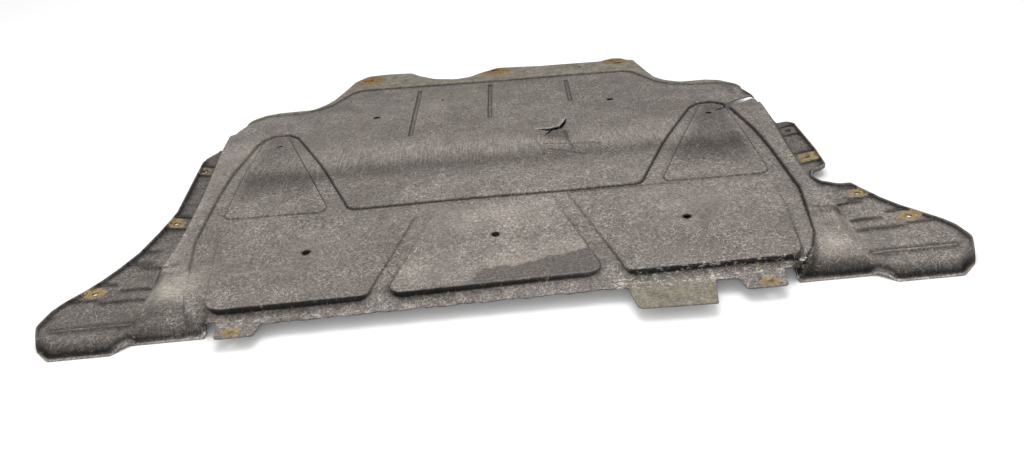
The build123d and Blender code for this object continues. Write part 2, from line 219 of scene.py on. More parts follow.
def sdf(poly, P, margin=60.0, chunk=3000):
    """Signed distance to a closed polygon, negative inside; far points read 99."""
    out = np.full(len(P), 99.0)
    lo, hi = poly.min(0) - margin, poly.max(0) + margin
    near = np.nonzero(((P >= lo) & (P <= hi)).all(1))[0]
    A = poly
    D = np.roll(poly, -1, 0) - A
    L2 = np.maximum((D ** 2).sum(1), 1e-12)
    By = np.roll(A[:, 1], -1)
    dy = np.where(np.abs(D[:, 1]) < 1e-12, 1e-12, D[:, 1])
    for i in range(0, len(near), chunk):
        idx = near[i:i + chunk]
        px, py = P[idx, 0][:, None], P[idx, 1][:, None]
        wx, wy = px - A[:, 0], py - A[:, 1]
        t = np.clip((wx * D[:, 0] + wy * D[:, 1]) / L2, 0, 1)
        d2 = ((wx - t * D[:, 0]) ** 2 + (wy - t * D[:, 1]) ** 2).min(1)
        cross = ((A[:, 1] > py) != (By > py)) & (px < A[:, 0] + wy * D[:, 0] / dy)
        inside = cross.sum(1) % 2 == 1
        out[idx] = np.sqrt(d2) * np.where(inside, -1.0, 1.0)
    return out


def smin(a, b, k):
    h = np.clip(0.5 + 0.5 * (b - a) / k, 0, 1)
    return b * (1 - h) + a * h - k * h * (1 - h)


def smax(a, b, k):
    return -smin(-a, -b, k)


def step01(a, b, v):
    t = np.clip((v - a) / (b - a), 0, 1)
    return t * t * (3 - 2 * t)


def near_line(P, pts):
    """Distance from points to an open polyline."""
    best = np.full(len(P), 1e9)
    for (x0, y0), (x1, y1) in zip(pts[:-1], pts[1:]):
        d = np.array([x1 - x0, y1 - y0], float)
        w = P - np.array([x0, y0])
        t = np.clip((w @ d) / (d @ d), 0, 1)
        best = np.minimum(best, np.hypot(w[:, 0] - t * d[0], w[:, 1] - t * d[1]))
    return best


# long section with its bends, as a dense table
_sec = []
for i, (y, z, r) in enumerate(FLOOR):
    if r <= 0:
        _sec.append((y, z))
        continue
    u = np.array(FLOOR[i - 1][:2]) - (y, z)
    v = np.array(FLOOR[i + 1][:2]) - (y, z)
    a, b = np.linalg.norm(u), np.linalg.norm(v)
    u, v = u / a, v / b
    half = math.acos(u @ v) / 2
    t = min(r / math.tan(half), 0.46 * a, 0.46 * b)
    r = t * math.tan(half)
    c = np.array((y, z)) + (u + v) / np.linalg.norm(u + v) * r / math.sin(half)
    a0 = math.atan2(*(np.array((y, z)) + u * t - c)[::-1])
    a1 = math.atan2(*(np.array((y, z)) + v * t - c)[::-1])
    da = (a1 - a0 + math.pi) % (2 * math.pi) - math.pi
    for j in range(25):
        _sec.append((c[0] + r * math.cos(a0 + da * j / 24), c[1] + r * math.sin(a0 + da * j / 24)))
SEC_Y, SEC_Z = np.array([p[0] for p in _sec]), np.array([p[1] for p in _sec])


def floor_z(y):
    return np.interp(y, SEC_Y, SEC_Z)


def panel_z(y):
    return PANEL_FRONT[1] + (PANEL_BACK[1] - PANEL_FRONT[1]) / (PANEL_BACK[0] - PANEL_FRONT[0]) * (y - PANEL_FRONT[0])


LOW = LOW_R + mirror_pts(LOW_R)
FLANGE = mirror_pts(FLANGE_R)[:-1] + FLANGE_R + [(680, 1150, 0), (-680, 1150, 0)]
PANELS = [PANEL_R, PANEL_M, PANEL_L]
TRIS = [TRI_R_PTS, mirror_pts(TRI_R_PTS)]
WINGS = [WING_R, mirror_pts(WING_R)]
GROOVE_PTS = [rect(x - 5, y0, x + 5, y1, 4.9) for x, y0, y1 in GROOVES]
RIB_PTS = [rect(xi, y - RIB_T / 2, xo, y + RIB_T / 2) for y, xi, xo in RIBS]
BEAD_PTS = [rect(xi, y - 3.5, xo, y + 3.5, 3.4) for y, xi, xo in BEADS]

S = {
    "tray": sample(TRAY), "low": sample(LOW), "flange": sample(FLANGE),
    "panels": [sample(p) for p in PANELS], "tris": [sample(p) for p in TRIS],
    "wings": [sample(p) for p in WINGS], "grooves": [sample(p, None, 1.0) for p in GROOVE_PTS],
    "ribs": [sample(p) for p in RIB_PTS], "beads": [sample(p, None, 1.0) for p in BEAD_PTS],
}

DIRT_M = [(-70, 36), (-42, 44), (-23, 79), (39, 85), (79, 95), (120, 103), (155, 123), (182, 135)]
DIRT_L = [(-420, 36), (-359, 48), (-313, 61), (-267, 72), (-212, 90), (-180, 98)]


def dirt_line(x, pts):
    y = np.interp(x, [p[0] for p in pts], [p[1] for p in pts])
    return y + 2.4 * np.sin(x / 6.1) + 1.6 * np.sin(x / 2.7 + 1.0) + 2.0 * np.sin(x / 15.0 + 2.0)


FLAP = np.array([(88, 578), (103, 569), (117, 563), (140, 573), (149, 600), (156, 634), (128, 618)], float)


def hump_z(x, y, drop):
    """Front corner of the tray, falling in a convex ramp from the rim to the wing front."""
    ax = np.abs(x)
    t = np.clip((y - 27.0 - drop) / (145.0 - drop), 0, 1)
    front = [(440, 21.0), (480, 21.0), (574, 20.5), (587, 20.0)]
    back = [(455, 49.0), (516, 49.0), (563, 41.5), (587, 21.0)]
    xs = [f[0] + (b[0] - f[0]) * t for f, b in zip(front, back)]
    zs = [f[1] + (b[1] - f[1]) * t ** 0.65 for f, b in zip(front, back)]
    z = np.full(len(x), -60.0)
    for i in range(3):
        w = np.clip((ax - xs[i]) / (xs[i + 1] - xs[i]), 0, 1)
        z = np.where((ax >= xs[i]) & (ax <= xs[i + 1]), zs[i] + (zs[i + 1] - zs[i]) * w, z)
    z = np.where(ax > xs[3], zs[3] - (ax - xs[3]) * 1.6, z)
    return np.where((y > 172) | (ax < xs[0]), -60.0, z) - drop


def height(P, drop):
    """Road-side face (drop 0) or car-side face (drop SHEET) over the plan, before the twist."""
    x, y = P[:, 0], P[:, 1]
    ax = np.abs(x)
    fl = floor_z(y)
    wall = drop * math.tan(math.radians(35.0))
    side = drop * math.tan(math.radians(29.0))
    d_flange = sdf(S["flange"], P, 2000)
    z = smin(fl + RIM_RISE - drop, 57.0 - (sdf(S["tray"], P, 2000) + side) / TAN_S, 5.0)
    for poly in S["wings"]:
        d = sdf(poly, P) + drop
        z = smax(z, smin(np.full(len(P), WING_Z - drop), WING_Z - drop - (d + 9.0) * 1.4, 12.0), 4.0)
    z = smax(z, smin(hump_z(x, y, drop), 21.0 - drop + (y - 34.0 - drop) * 1.35, 14.0), 5.0)
    z = smin(z, smax(fl - drop, 48.0 + (sdf(S["low"], P, 2000) - wall) / TAN_W, 6.0), 6.0)
    for poly in S["panels"]:
        z = smax(z, smin(panel_z(y) - drop, 38.0 - (sdf(poly, P) + wall) / TAN_W, 3.0), 1.6)
    for poly in S["tris"]:
        z = smax(z, smin(fl + TRI_RISE - drop, 52.0 - (sdf(poly, P) + wall) / TAN_W, 1.8), 1.5)
    z = smax(z, smin(fl + FLANGE_RISE - drop, 40.0 - (d_flange + wall) / TAN_W, 4.0), 2.5)
    for poly in S["grooves"]:
        d = sdf(poly, P)
        z = smin(z, smax(fl + RIM_RISE - 4.4 - drop, fl + RIM_RISE - drop + (d - drop) * 1.5, 1.2), 1.0)
    # wall above the foot lip, outside the tray front
    cut = 21.0 - drop + (y - 34.0 - drop) * 1.35 + np.maximum(0, 463.0 + drop - ax) * 8.0 + np.maximum(0, ax - 577.0) * 3.0
    z = np.where(ax < 610, smin(z, cut, 11.0), z)
    z = smax(z, np.full(len(P), LIP_Z - drop), 0.8)
    if drop == 0.0:
        lipped = ((x > 576) & (y > 12) & (y < 589)) | ((x < -576) & (y > 12) & (y < 634))
        d = np.full(len(P), 99.0)
        d[lipped] = -sdf(outline_pts, P[lipped], 2000, 1500)
        rise = EDGE_LIP * step01(14, 70, y) * np.where(x > 0, 1 - step01(560, 588, y), 1 - step01(598, 632, y))
        z = z + np.where(lipped, rise * (0.4 * np.exp(-np.maximum(d, 0) / 14.0) + 0.6 * (1 - step01(2.4, 3.6, d))), 0.0)
        for (yy, xi, xo), poly in zip(RIBS, S["ribs"]):
            t = np.clip((x - xi) / (xo - xi), 0, 1)
            tall = RIB_RISE - 1.0 if abs(xo) > 600 else 1.4
            z = smax(z, WING_Z + 1.2 + tall * t - np.maximum(0, sdf(poly, P) + 0.3) * 5.0, 0.6)
        for poly in S["beads"]:
            z = smax(z, WING_Z + 1.8 - np.maximum(0, sdf(poly, P) + 2.8) * 0.75, 0.6)
    return z


def relief(P, z):
    """Dents, the lifted flap and the rolled rear edge, then the twist of the whole sheet."""
    x, y = P[:, 0], P[:, 1]
    # lifted flap behind the tear: rises from its hinge line to the free edge
    hx, hy = 156 - 88, 634 - 578
    l = math.hypot(hx, hy)
    off = ((x - 88) * hy - (y - 578) * hx) / l            # distance in front of the hinge line
    flap = sdf(FLAP, P) < 0.6
    z = z + np.where(flap, 0.13 * np.clip(off, 0, 40), 0.0)
    # pushed-in dent in front of the tear, with creases
    g = np.exp(-(((x - 140) / 34) ** 2 + ((y - 522) / 26) ** 2))
    z = z - np.where(flap, 0.0, 6.0 * g)

    def crease(pts, depth, wide, dy=0.0):
        return depth * np.exp(-(near_line(P, [(a_, b_ + dy) for a_, b_ in pts]) / wide) ** 2)

    z = z - crease([(146, 560), (150, 518), (153, 495), (157, 462)], 2.4, 4.0)
    z = z - crease([(103, 495), (150, 487), (211, 476)], 1.8, 4.5) + crease([(103, 495), (150, 487), (211, 476)], 1.4, 6.0, 12.0)
    z = z + crease([(157, 470), (240, 463), (325, 458)], 1.1, 6.0)
    z = z - crease([(112, 466), (153, 447), (175, 433)], 1.3, 5.0)
    # rear edge rolled down, most at the corners
    back = (y > 640) & (np.abs(x) < 600)
    d = np.full(len(P), 99.0)
    d[back] = -sdf(outline_pts, P[back], 2000, 1500)
    amp = 2.0 + 5.0 * step01(360, 420, np.abs(x))
    z = z - amp * np.clip(1 - d / 15.0, 0, 1) ** 2
    # long soft waves of a worn sheet
    z = z + 0.7 * np.sin(x / 61.0 + 1.3 * np.sin(y / 83.0)) * np.sin(y / 74.0 + 0.6) * step01(60, 200, y)
    # the wings stand a little higher behind their front lip
    z = z + 4.0 * step01(30, 150, y) * step01(570, 612, -x) + 4.6 * step01(14, 80, y) * step01(570, 612, x)
    phi = np.where(y > 150, 0.029 * (1 - np.exp(-(np.maximum(y, 150) - 150) / 330.0)), 0.0)
    return z - phi * x


# ------------------------------------------------------------------ mesh
def circle(x, y, r, n):
    return np.array([(x + r * math.cos(2 * math.pi * i / n), y + r * math.sin(2 * math.pi * i / n)) for i in range(n)])


HOLES = []           # (points of the real edge, centre, radius)
for group, r in ((DRAINS, 6.5), (TRI_HOLES, 6.5), (BACK_HOLES, 5.5), (SMALL_HOLES, 4.0), (PIN_HOLES, 3.5),
                 (FRONT_BOLTS, 4.5), (WING_BOLTS, 4.5)):
    for x, y in group:
        HOLES.append((circle(x, y, r, 24), (x, y), r))
for x, y in REAR_SLOTS:
    HOLES.append((sample(rect(x - 10, y - 4.5, x + 10, y + 4.5, 4.49), 3.0, 1.5), (x, y), 8.0))

# tears: the branch leaves the main tear, the split runs out over the edge
tear = [tuple(p[:2]) for p in slit(TEAR_MAIN)]
outline_pts = sample(OUTLINE, 5.0, 2.5)
ragged = (outline_pts[:, 1] > 10) & (outline_pts[:, 1] < 19) & (outline_pts[:, 0] > -365) & (outline_pts[:, 0] < 195)
outline_pts[ragged, 1] += 0.9 * np.sin(outline_pts[ragged, 0] / 4.1) * np.sin(outline_pts[ragged, 0] / 23.0) + 0.8 * np.sin(outline_pts[ragged, 0] / 11.0)


def densify(pts, step):
    out = []
    n = len(pts)
    for i in range(n):
        a, b = np.array(pts[i], float), np.array(pts[(i + 1) % n], float)
        m = max(1, int(round(np.linalg.norm(b - a) / step)))
        out += [tuple(a + (b - a) * j / m) for j in range(m)]
    return np.array(out)


# main tear joined with its branch as one outline, walked round once
TEAR_LOOP = [(88, 578), (103, 571), (116.5, 566.2), (138, 575.6), (146.6, 600.5), (156, 634.6),
             (151.4, 599.4), (142.6, 570.4), (121.5, 561.0), (112.4, 548.2), (102, 531.5), (109.6, 549.8),
             (115.8, 560.5), (103, 567.4)]
TEAR_EDGE = densify(TEAR_LOOP, 2.5)


def cut_split(poly):
    """Opens the outline along the rear right split, which reaches the edge."""
    s = slit(SPLIT)
    n = len(SPLIT)
    upper, lower = [p[:2] for p in s[:n]], [p[:2] for p in s[n:]][::-1]    # both from the tip to the edge
    ins = sdf(np.array([p[:2] for p in s], float), poly) < 0.0
    i = np.nonzero(ins)[0]
    i0, i1 = i[0], i[-1]
    before, after = poly[:i0], poly[i1 + 1:]
    pip = sdf(poly, np.array(upper)) < -2.5
    up = [p for p, k in zip(upper, pip) if k]
    pip = sdf(poly, np.array(lower)) < -2.5
    low = [p for p, k in zip(lower, pip) if k]
    # where the slit walls meet the outline
    def meet(p, q):
        a, b = np.array(p, float), np.array(q, float)
        for _ in range(40):
            m = (a + b) / 2
            if sdf(poly, m[None])[0] < 0:
                a = m
            else:
                b = m
        return tuple((a + b) / 2)
    k = len(low)
    lo_edge = meet(low[-1], lower[k])
    k = len(up)
    up_edge = meet(up[-1], upper[k])
    walk = [lo_edge] + low[::-1] + up + [up_edge]
    fine = []
    for a, b in zip(walk[:-1], walk[1:]):
        a, b = np.array(a, float), np.array(b, float)
        m = max(1, int(np.linalg.norm(b - a) / 4.0))
        fine += [tuple(a + (b - a) * j / m) for j in range(m)]
    fine.append(walk[-1])
    return np.array([tuple(p) for p in before] + fine + [tuple(p) for p in after])


EDGE = cut_split(outline_pts)
BOUND = [(EDGE, -outward(EDGE), 0.6)] + [(h, outward(h), 0.5) for h, _, _ in HOLES] + [(TEAR_EDGE, outward(TEAR_EDGE), 0.15)]
INSET = [e + n * d for e, n, d in BOUND]
edge_poly = INSET[0]
hole_polys = INSET[1:]

edge_tree = kdtree.KDTree(sum(len(p) for p in INSET))
k = 0
for p in INSET:
    for q in p:
        edge_tree.insert((q[0], q[1], 0), k)
        k += 1
edge_tree.balance()


def inside(P):
    ok = sdf(edge_poly, P, 2000, 1200) < 0
    for h in hole_polys:
        ok &= sdf(h, P, 3.0) > 0
    return ok


def clear_of_edge(P, d):
    ok = inside(P)
    for i in np.nonzero(ok)[0]:
        if edge_tree.find((P[i, 0], P[i, 1], 0))[2] < d:
            ok[i] = False
    return ok


def feature_loops(fine):
    """Lines that the mesh follows along each wall, as point arrays."""
    st = 7.0 if fine else 14.0
    ar = 3.0 if fine else 6.0
    L = []

    def add(pts, dists, step=st, arc=ar):
        for d in dists:
            L.append(sample(grow(pts, d), step, arc))

    if fine:
        for p in PANELS:
            add(p, (-5.0, -3.4, -2.3, -1.4, -0.6, 0.3, 1.1, 2.0, 3.4))
        for p in TRIS:
            add(p, (-4.2, -2.8, -1.7, -0.9, -0.2, 0.6, 1.6, 3.0))
        add(LOW, (-7.5, -6.0, -4.8, -3.6, -2.4, -1.2, 0.0, 1.2, 2.4, 3.6, 4.8, 6.2, 8.0))
        add(FLANGE, (-5.0, -3.4, -2.2, -1.2, -0.2, 0.8, 1.9, 3.2, 5.0))
        add(TRAY, (-5.5, -3.5, -1.8, 0.0, 2.0, 4.0, 7.0, 11.0, 15.5, 19.5, 22.0, 24.0, 26.0))
        for p in GROOVE_PTS:
            add(p, (-3.4, -2.4, -1.5, -0.7, 0.1, 1.0, 2.2), 9.0, 1.6)
        for p in WINGS:
            add(p, (-20.0, -16.5, -13.5, -11.0, -9.0, -7.0, -5.0, -3.2, -1.6, 0.0, 1.6, 3.0, 4.2))
        for d in (-1.9, -2.5, -2.9, -3.3, -3.8, -4.4):
            q = sample(grow(OUTLINE, d), 7.0, 3.0)
            L.append(q[(np.abs(q[:, 0]) > 574) & (q[:, 1] > 8) & (q[:, 1] < 636)])
        for d in (-4.0, -7.5, -11.0, -15.0):
            q = sample(grow(OUTLINE, d), 9.0, 4.0)
            L.append(q[(np.abs(q[:, 0]) < 600) & (q[:, 1] > 640)])
        for sgn in (1, -1):
            for yy in (22.5, 24.5, 26.0, 27.5, 29.0, 31.0, 33.0, 35.5, 38.5, 42.0, 46.0):
                L.append(np.array([(sgn * v, yy) for v in np.arange(464, 590, 6.0)]))
        for p in RIB_PTS:
            add(p, (-1.2, -0.35, 0.1, 0.55), 8.0)
        for p in (DIRT_M, DIRT_L):
            v = np.arange(p[0][0] + 8, p[-1][0] - 8, 3.0)
            for d in (-3.5, -1.2, 1.2, 3.5):
                L.append(np.column_stack([v, dirt_line(v, p) + d]))
        for p in BEAD_PTS:
            add(p, (-3.0, -1.8, -0.6, 0.6), 8.0, 1.6)
        for _, c, r in HOLES:
            for rr in (2.0, 4.5, 8.0, 12.0, 17.0):
                L.append(circle(c[0], c[1], r + rr, 20))
    else:
        for p in PANELS + TRIS:
            add(p, (-6.0, -3.5, -1.5, 0.5, 2.5))
        add(LOW, (-4.5, -1.5, 1.5, 4.5, 8.0))
        add(FLANGE, (-6.0, -3.0, -1.0, 1.0, 3.5))
        add(TRAY, (-7.0, -3.0, 2.0, 9.0, 18.0, 23.0))
        for p in GROOVE_PTS:
            add(p, (-1.0, 1.5, 4.0, 6.0), 16.0, 3.0)
        for p in WINGS:
            add(p, (-6.5, -4.5, -3.2, -2.0, -0.5, 1.0))
    return L


def plan_mesh(fine):
    """Triangles over the plan; the first vertices are the boundary points."""
    pts = [tuple(q) for p in INSET for q in p]
    edges = []
    k = 0
    for p in INSET:
        n = len(p)
        edges += [(k + i, k + (i + 1) % n) for i in range(n)]
        k += n
    n_bound = k
    loops = feature_loops(fine)
    allp = np.concatenate(loops)
    ok = clear_of_edge(allp, 1.6)
    used = [q for q in pts]
    seen = {}
    j = 0
    for lp in loops:
        prev = None
        first = None
        for i in range(len(lp)):
            if not ok[j + i]:
                prev = None
                continue
            if i and math.hypot(lp[i, 0] - lp[i - 1, 0], lp[i, 1] - lp[i - 1, 1]) > 30:
                prev = None
            key = (round(lp[i, 0] / 0.5), round(lp[i, 1] / 0.5))
            if key in seen:
                cur = seen[key]
            else:
                cur = len(pts)
                seen[key] = cur
                pts.append((lp[i, 0], lp[i, 1]))
            if prev is not None and prev != cur:
                edges.append((prev, cur))
            if i == 0:
                first = cur
            prev = cur
        if first is not None and prev is not None and first != prev and ok[j + len(lp) - 1] \
                and math.hypot(*(lp[0] - lp[-1])) < 30:
            edges.append((prev, first))
        j += len(lp)
    # open areas
    tree = kdtree.KDTree(len(pts))
    for i, q in enumerate(pts):
        tree.insert((q[0], q[1], 0), i)
    tree.balance()
    g = 12.0 if fine else 24.0
    fill = []
    for r, yy in enumerate(np.arange(-40, 1040, g * 0.866)):
        for xx in np.arange(-745 + (g / 2 if r % 2 else 0), 745, g):
            fill.append((xx, yy))
    if fine:
        for yy in np.arange(425, 665, 3.6):
            for xx in np.arange(62, 245, 3.6):
                fill.append((xx + 0.7 * math.sin(yy), yy + 0.7 * math.sin(xx)))
    fill = np.array(fill)
    fill = fill[inside(fill)]
    local = (fill[:, 0] > 60) & (fill[:, 0] < 247) & (fill[:, 1] > 423) & (fill[:, 1] < 667)
    for q, loc in zip(fill, local):
        lim = 1.9 if (loc and fine) else g * 0.45
        if tree.find((q[0], q[1], 0))[2] > lim:
            pts.append((q[0], q[1]))
    res = geometry.delaunay_2d_cdt([Vector(p) for p in pts], edges, [], 0, 1e-4, True)
    V = np.array([(v.x, v.y) for v in res[0]])
    F = np.array([f for f in res[2]])
    where = {}
    for out_i, src in enumerate(res[3]):
        for s in src:
            where[s] = out_i
    bound = [where[i] for i in range(n_bound)]
    C = V[F].mean(1)
    F = F[inside(C)]
    a = V[F]
    ccw = (a[:, 1, 0] - a[:, 0, 0]) * (a[:, 2, 1] - a[:, 0, 1]) - (a[:, 1, 1] - a[:, 0, 1]) * (a[:, 2, 0] - a[:, 0, 0])
    F = F[np.abs(ccw) > 1e-6]
    ccw = ccw[np.abs(ccw) > 1e-6]
    F[ccw < 0] = F[ccw < 0][:, ::-1]
    return V, F, bound


V1, F1, B1 = plan_mesh(True)
V2, F2, B2 = plan_mesh(False)
z1 = height(V1, 0.0)
z2 = height(V2, SHEET)
# slope and hollowness of the road side, for the painted shade on walls and in hollows and for wear on crests
H = 2.2
zx = height(V1 + (H, 0), 0.0), height(V1 - (H, 0), 0.0)
zy = height(V1 + (0, H), 0.0), height(V1 - (0, H), 0.0)
bend = (zx[0] + zx[1] + zy[0] + zy[1] - 4 * z1) / (H * H)
slope_f = (zy[0] - zy[1]) / (2 * H)
slope_s = np.abs(zx[0] - zx[1]) / (2 * H)
z1 = relief(V1, z1)
z2 = relief(V2, z2)
E0 = np.concatenate([e for e, _, _ in BOUND])       # the real edge in plan
zt, zb = z1[B1], z2[B2]
zt = np.maximum(zt, zb + 1.4)
z1[B1] = zt
ring_a = np.column_stack([E0, zt - 0.5])
ring_b = np.column_stack([E0, zb + 0.5])
XYZ = np.concatenate([np.column_stack([V1, z1]), np.column_stack([V2, z2]), ring_a, ring_b])
n1, n2, nb = len(V1), len(V2), len(E0)
faces = [tuple(f) for f in F1] + [tuple(f[::-1] + n1) for f in F2]
k = 0
for e, _, _ in BOUND:
    n = len(e)
    s = area2([tuple(p) for p in e]) > 0
    outer = k == 0
    for i in range(n):
        j = (i + 1) % n
        a, b = k + i, k + j
        chain = [(B1[a], B1[b]), (n1 + n2 + a, n1 + n2 + b), (n1 + n2 + nb + a, n1 + n2 + nb + b), (n1 + B2[a], n1 + B2[b])]
        for (p, q), (r, t) in zip(chain[:-1], chain[1:]):
            quad = (p, r, t, q) if s == outer else (p, q, t, r)
            faces.append(quad)
    k += n

XYZ[:, 1] += Y_SHIFT
XYZ /= 1000.0
mesh = bpy.data.meshes.new("shield_sheet")
mesh.from_pydata([tuple(p) for p in XYZ], [], faces)
mesh.validate()
mesh.update()
mesh.polygons.foreach_set("use_smooth", np.ones(len(mesh.polygons), dtype=bool))
shield = bpy.data.objects.new("shield_sheet", mesh)
bpy.context.scene.collection.objects.link(shield)
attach(shield, "root")
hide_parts("splash_shield")

# ------------------------------------------------------------------ where the wear, the dirt and the painted light and shade lie (per point, 0 to 1)
P = np.concatenate([V1, V2, E0, E0])
under = np.concatenate([np.zeros(n1), np.ones(n2), np.zeros(nb), np.ones(nb)])
x, y = P[:, 0], P[:, 1]


def blob(cx, cy, rx, ry, turn=0.0):
    c, s_ = math.cos(math.radians(turn)), math.sin(math.radians(turn))
    u = ((x - cx) * c + (y - cy) * s_) / rx
    v = (-(x - cx) * s_ + (y - cy) * c) / ry
    return np.exp(-(u * u + v * v))


def box(cx, cy, hx, hy):
    return (1 - step01(hx - 3, hx + 2, np.abs(x - cx))) * (1 - step01(hy - 3, hy + 2, np.abs(y - cy)))


def oval(cx, cy, rx, ry):
    return 1 - step01(0.7, 1.15, np.hypot((x - cx) / rx, (y - cy) / ry))


rust = np.zeros(len(P))
for val in (0.75 * box(-604, 359, 16, 18), 0.55 * box(-605, 569, 14, 18), 0.75 * oval(-684, 147, 24, 17),
            0.45 * oval(600, 540, 14, 13), 0.75 * box(600, 411, 19, 19), 0.75 * oval(636, 244, 21, 18),
            0.8 * oval(684, 146, 24, 17), 0.8 * oval(-416, 0, 20, 13), 0.8 * oval(416, 0, 19, 13)):
    rust = np.maximum(rust, val)
ring = np.zeros(len(P))
for _, (cx, cy), r in HOLES:
    if (cx, cy) in FRONT_BOLTS + WING_BOLTS:
        ring = np.maximum(ring, 1 - step01(2.0, 5.5, np.hypot(x - cx, y - cy) - r))
stain = 0.78 * np.maximum(np.maximum(oval(-303, 992, 40, 38), oval(10, 996, 40, 36)), oval(303, 1004, 34, 28)) \
    + 0.3 * (blob(-290, 1000, 26, 14) + blob(8, 1002, 28, 16) + blob(294, 1012, 18, 12))

pad = np.zeros(n2 + 2 * nb)
hollow = np.concatenate([np.clip(bend * 0.9, 0, 1), pad])
crest = np.concatenate([np.clip(-bend * 0.5, 0, 1), pad])
front = V1[:, 1] < 60
tip, corner = front & (np.abs(V1[:, 0]) > 600), front & (np.abs(V1[:, 0]) > 458)
facing = np.where(tip, np.clip((slope_f + 0.7 * slope_s - 0.25) * 0.72, 0, 1), np.clip((slope_f - 0.6) * 0.9, 0, 1))
facing = np.where(corner & ~tip, np.clip((slope_f - 0.4) * np.where(V1[:, 0] < 0, 0.55, 0.95), 0, 1), facing)
facing = np.concatenate([facing, pad])
steep = np.concatenate([np.clip((slope_s - 0.35) * 0.9, 0, 1), pad])
d_flange = sdf(S["flange"], P, 2000)
d_tray = sdf(S["tray"], P, 2000)
d_low = sdf(S["low"], P, 2000)
d_tri = np.minimum(sdf(S["tris"][0], P), sdf(S["tris"][1], P))
p_r, p_m, p_l = [sdf(q, P) for q in S["panels"]]
ax = np.abs(x)

soil_m = y - dirt_line(x, DIRT_M)
soil_l = y - dirt_line(x, DIRT_L)
in_m, in_l = 1 - step01(-6, 2, p_m), 1 - step01(-6, 2, p_l)
clean = np.maximum(in_m * step01(-66, -50, x) * (1 - step01(-3, 3, soil_m)), 0.4 * in_l * step01(-400, -330, x) * (1 - step01(-3, 3, soil_l)))
dust = 1.5 * blob(-545, 124, 44, 30) + 0.6 * blob(540, 74, 24, 18) + 0.15 * blob(548, 118, 26, 26) + 0.35 * blob(566, 150, 20, 14) + 0.7 * blob(-524, 590, 30, 46) \
    + 0.4 * blob(-560, 330, 22, 170) + 0.3 * blob(-470, 760, 90, 40) + 0.2 * blob(-330, 200, 60, 40) + 0.2 * blob(330, 240, 120, 40) \
    + 0.35 * blob(-10, 245, 110, 40) + 0.25 * blob(-450, 610, 40, 34) + 0.3 * blob(452, 606, 34, 30) + 0.3 * blob(-180, 760, 120, 60) \
    + 0.6 * in_m * step01(-40, 0, x) * step01(-2, 4, soil_m) * np.exp(-(soil_m / 26.0) ** 2) + 0.35 * in_m * blob(-110, 100, 50, 40)
scrape = np.exp(-((y - 41) / 6.0) ** 2) * step01(205, 230, x) * (1 - step01(475, 490, x)) * 0.65 \
    + np.exp(-((y - 24) / 15.0) ** 2) * (step01(120, 230, x) * (1 - step01(440, 470, x))) * 0.75 \
    + np.exp(-((y - 20) / 8.0) ** 2) * (1 - step01(-30, 160, x)) * step01(-480, -400, x) * 0.5 \
    + 0.95 * blob(486, 40, 18, 14) + 0.8 * blob(185, 22, 30, 12) + 0.4 * blob(-505, 70, 40, 40) \
    + 0.5 * np.exp(-((y - 284) / 7.0) ** 2) * step01(190, 240, x) * (1 - step01(470, 500, x)) \
    + 0.9 * blob(-17, 312, 9, 5) + 0.8 * blob(90, 311, 9, 5) + 0.9 * blob(352, 304, 8, 5) + 0.5 * blob(-416, 2, 26, 18) \
    + 0.35 * blob(480, 270, 26, 20) + 0.4 * np.exp(-((d_tray + 3) / 6.0) ** 2) * step01(480, 500, ax) * step01(80, 160, y) * (1 - step01(560, 620, y)) \
    + 0.2 * blob(566, 330, 22, 150) + 0.3 * blob(-566, 260, 16, 100)
olive = np.maximum((1 - step01(8, 18, y)) * step01(196, 214, x) * (1 - step01(330, 340, x)), 1 - step01(-4, 3, d_flange))
olive = np.maximum(olive, 0.5 * blob(-60, 850, 150, 26))
ridge = np.exp(-((y - 500) / 60.0) ** 2) * (1 - step01(470, 510, ax))


def line(d, wide):
    return np.exp(-(d / wide) ** 2)


foot = (floor_z(y) - 48.0) * TAN_W - 0.6
# tone: area colour and dirt, multiplied below by painted shade on walls, feet, hollows and holes and by painted
# highlights on lips and edges
tone_with_painted_light = 1.0 + 0.16 * in_m * step01(0, 30, soil_m)
tone_with_painted_light *= 1 - np.where(x < 0, 0.28, 0.41) * (1 - step01(-20, 5, d_tri)) * step01(330, 400, y)
# painted shade on the front slope of the ridge
tone_with_painted_light *= 1 - 0.4 * line(y - 440, 34.0) * (1 - step01(470, 510, ax))
tone_with_painted_light *= 1 - 0.14 * step01(520, 620, y) * (1 - step01(470, 510, ax))
on_wing = step01(-2, 22, d_tray) * step01(540, 570, ax)
tone_with_painted_light *= np.where(x < 0, 1 - (0.22 + 0.1 * step01(250, 330, y)) * on_wing, 1 + (0.05 - 0.36 * step01(360, 400, y)) * on_wing)
# painted shade on the front slopes of the ramps
tone_with_painted_light *= 1 - 0.46 * blob(-545, 62, 60, 28) - 0.1 * blob(540, 60, 40, 20)
tone_with_painted_light *= 1 - 0.1 * step01(496, 516, x) * step01(180, 240, y) * (1 - on_wing)
# painted light on the ramps
tone_with_painted_light *= 1 + 0.45 * blob(541, 76, 34, 26) + 0.14 * blob(-545, 124, 46, 30)
# painted shadow at the curled end of the torn rear right corner
tone_with_painted_light *= 1 - 0.85 * blob(566, 694, 9, 11)
on_low = line(d_low - foot - 1.5, 6.0) * step01(270, 290, y)
d_gr = np.minimum.reduce([sdf(q, P) for q in S["grooves"]])
# painted shade in the hollows, eased at the low wall's foot, in the grooves and at the left front corner
tone_with_painted_light *= 1 - 0.6 * hollow * (1 - 0.8 * on_low) * np.where(d_gr < 3, 0.15, 1.0) * (1 - 0.7 * step01(430, 470, -x) * (1 - step01(170, 300, y)) * step01(20, 45, y))
